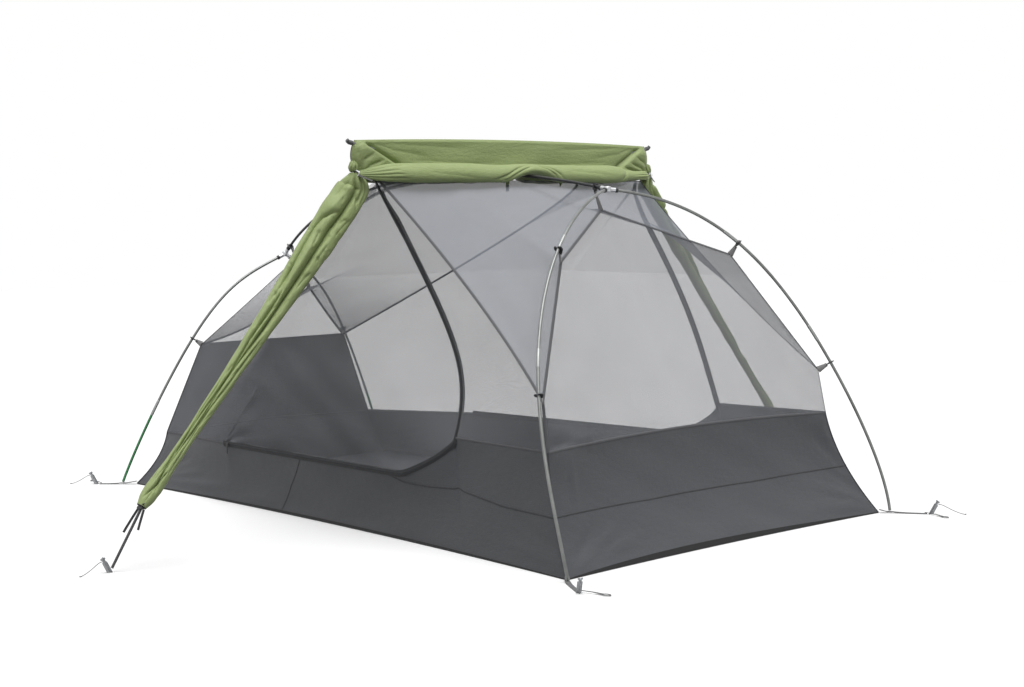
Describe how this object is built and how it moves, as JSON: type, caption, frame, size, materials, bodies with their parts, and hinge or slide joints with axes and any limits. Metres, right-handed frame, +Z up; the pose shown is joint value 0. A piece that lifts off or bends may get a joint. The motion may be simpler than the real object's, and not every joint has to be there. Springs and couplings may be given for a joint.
{
  "type": "freestanding two-person tent",
  "caption": "Freestanding mesh tent hung from bent poles, with a dark tub floor, a D-shaped door each side and a green fly rolled up on its ridge.",
  "frame": {"origin": "on the ground, under the middle of the floor sheet", "axes": "+X toward the wide head end, +Y toward the left door, +Z up"},
  "size_m": [2.5311, 2.9475, 1.133],
  "materials": {
    "dark_cloth": "coated ripstop, dark grey",
    "mesh_cloth": "fine insect mesh, light grey",
    "roof_cloth": "fine insect mesh, blue grey",
    "zip_black": "coil zip, black",
    "pole_grey": "anodised, dark grey",
    "pole_green": "anodised, green",
    "hub_silver": "satin",
    "clip_black": "moulded, black",
    "green_cloth": "coated ripstop, leaf green",
    "stake_grey": "anodised, grey",
    "webbing_grey": "woven tape and cord, dark grey"
  },
  "bodies": {
    "tent": {"floor_sheet": "dark_cloth", "tub_wall_right": "dark_cloth", "tub_wall_left": "dark_cloth", "tub_wall_head": "dark_cloth", "end_wall_foot": "dark_cloth", "mesh_side_foot_right": "mesh_cloth", "mesh_side_foot_left": "mesh_cloth", "mesh_side_head_right": "mesh_cloth", "mesh_side_head_left": "mesh_cloth", "mesh_end_wall_head": "mesh_cloth", "mesh_gable_foot": "mesh_cloth", "roof_head": "roof_cloth", "roof_foot": "roof_cloth", "door_zip_right": "zip_black", "door_zip_left": "zip_black", "spine_pole": "pole_grey", "ridge_pole": "pole_grey", "head_leg_right": "pole_grey", "head_leg_left": "pole_grey", "foot_leg_right": "pole_grey", "foot_leg_left": "pole_grey", "foot_leg_tip_right": "pole_green", "foot_leg_tip_left": "pole_green", "head_hub": "hub_silver", "foot_hub": "hub_silver", "ridge_saddle": "clip_black", "head_peak_clip": "clip_black", "foot_peak_clip": "clip_black", "head_high_clip_right": "clip_black", "head_high_clip_left": "clip_black", "head_low_clip_right": "clip_black", "head_low_clip_left": "clip_black", "foot_clip_right": "clip_black", "foot_clip_left": "clip_black", "fly_band": "green_cloth", "fly_roll_head": "green_cloth", "fly_roll_foot": "green_cloth", "fly_strip_right": "green_cloth", "fly_strip_left": "green_cloth", "corner_webbing_head_right": "webbing_grey", "corner_webbing_head_left": "webbing_grey", "corner_webbing_foot_right": "webbing_grey", "corner_webbing_foot_left": "webbing_grey", "vestibule_webbing_right": "webbing_grey", "vestibule_webbing_left": "webbing_grey"},
    "door_right": {"door_panel_right": "mesh_cloth"},
    "zip_slider_right": {"zip_slider_right": "zip_black"},
    "door_left": {"door_panel_left": "mesh_cloth"},
    "zip_slider_left": {"zip_slider_left": "zip_black"},
    "stake_head_right": {"stake_head_right": "stake_grey"},
    "stake_head_left": {"stake_head_left": "stake_grey", "stake_cord_head_left": "webbing_grey"},
    "stake_foot_right": {"stake_foot_right": "stake_grey", "stake_cord_foot_right": "webbing_grey"},
    "stake_foot_left": {"stake_foot_left": "stake_grey"},
    "stake_vestibule_right": {"stake_vestibule_right": "stake_grey", "stake_cord_vestibule_right": "webbing_grey"},
    "stake_vestibule_left": {"stake_vestibule_left": "stake_grey"}
  },
  "joints": [
    {"name": "door_right_swing", "type": "hinge", "parent": "tent", "child": "door_right", "pos_m": [-0.57, -0.545, 0.185], "axis": [0.6937, 0.0078, 0.7202], "range_deg": [0, 45]},
    {"name": "zip_right_slide", "type": "slide", "parent": "tent", "child": "zip_slider_right", "axis": [0.9984, -0.0569, 0], "range_m": [0, 0.85]},
    {"name": "door_left_swing", "type": "hinge", "parent": "tent", "child": "door_left", "pos_m": [-0.57, 0.545, 0.185], "axis": [-0.6937, 0.0078, -0.7202], "range_deg": [0, 45]},
    {"name": "zip_left_slide", "type": "slide", "parent": "tent", "child": "zip_slider_left", "axis": [0.9984, 0.0569, 0], "range_m": [0, 0.85]},
    {"name": "stake_head_right_pull", "type": "slide", "parent": "tent", "child": "stake_head_right", "axis": [0.3839, -0.2703, 0.8829], "range_m": [0, 0.16]},
    {"name": "stake_head_left_pull", "type": "slide", "parent": "tent", "child": "stake_head_left", "axis": [0.3839, 0.2703, 0.8829], "range_m": [0, 0.16]},
    {"name": "stake_foot_right_pull", "type": "slide", "parent": "tent", "child": "stake_foot_right", "axis": [-0.3468, -0.3165, 0.8829], "range_m": [0, 0.16]},
    {"name": "stake_foot_left_pull", "type": "slide", "parent": "tent", "child": "stake_foot_left", "axis": [-0.3468, 0.3165, 0.8829], "range_m": [0, 0.16]},
    {"name": "stake_vestibule_right_pull", "type": "slide", "parent": "tent", "child": "stake_vestibule_right", "axis": [0, -0.4695, 0.8829], "range_m": [0, 0.16]},
    {"name": "stake_vestibule_left_pull", "type": "slide", "parent": "tent", "child": "stake_vestibule_left", "axis": [0, 0.4695, 0.8829], "range_m": [0, 0.16]}
  ]
}
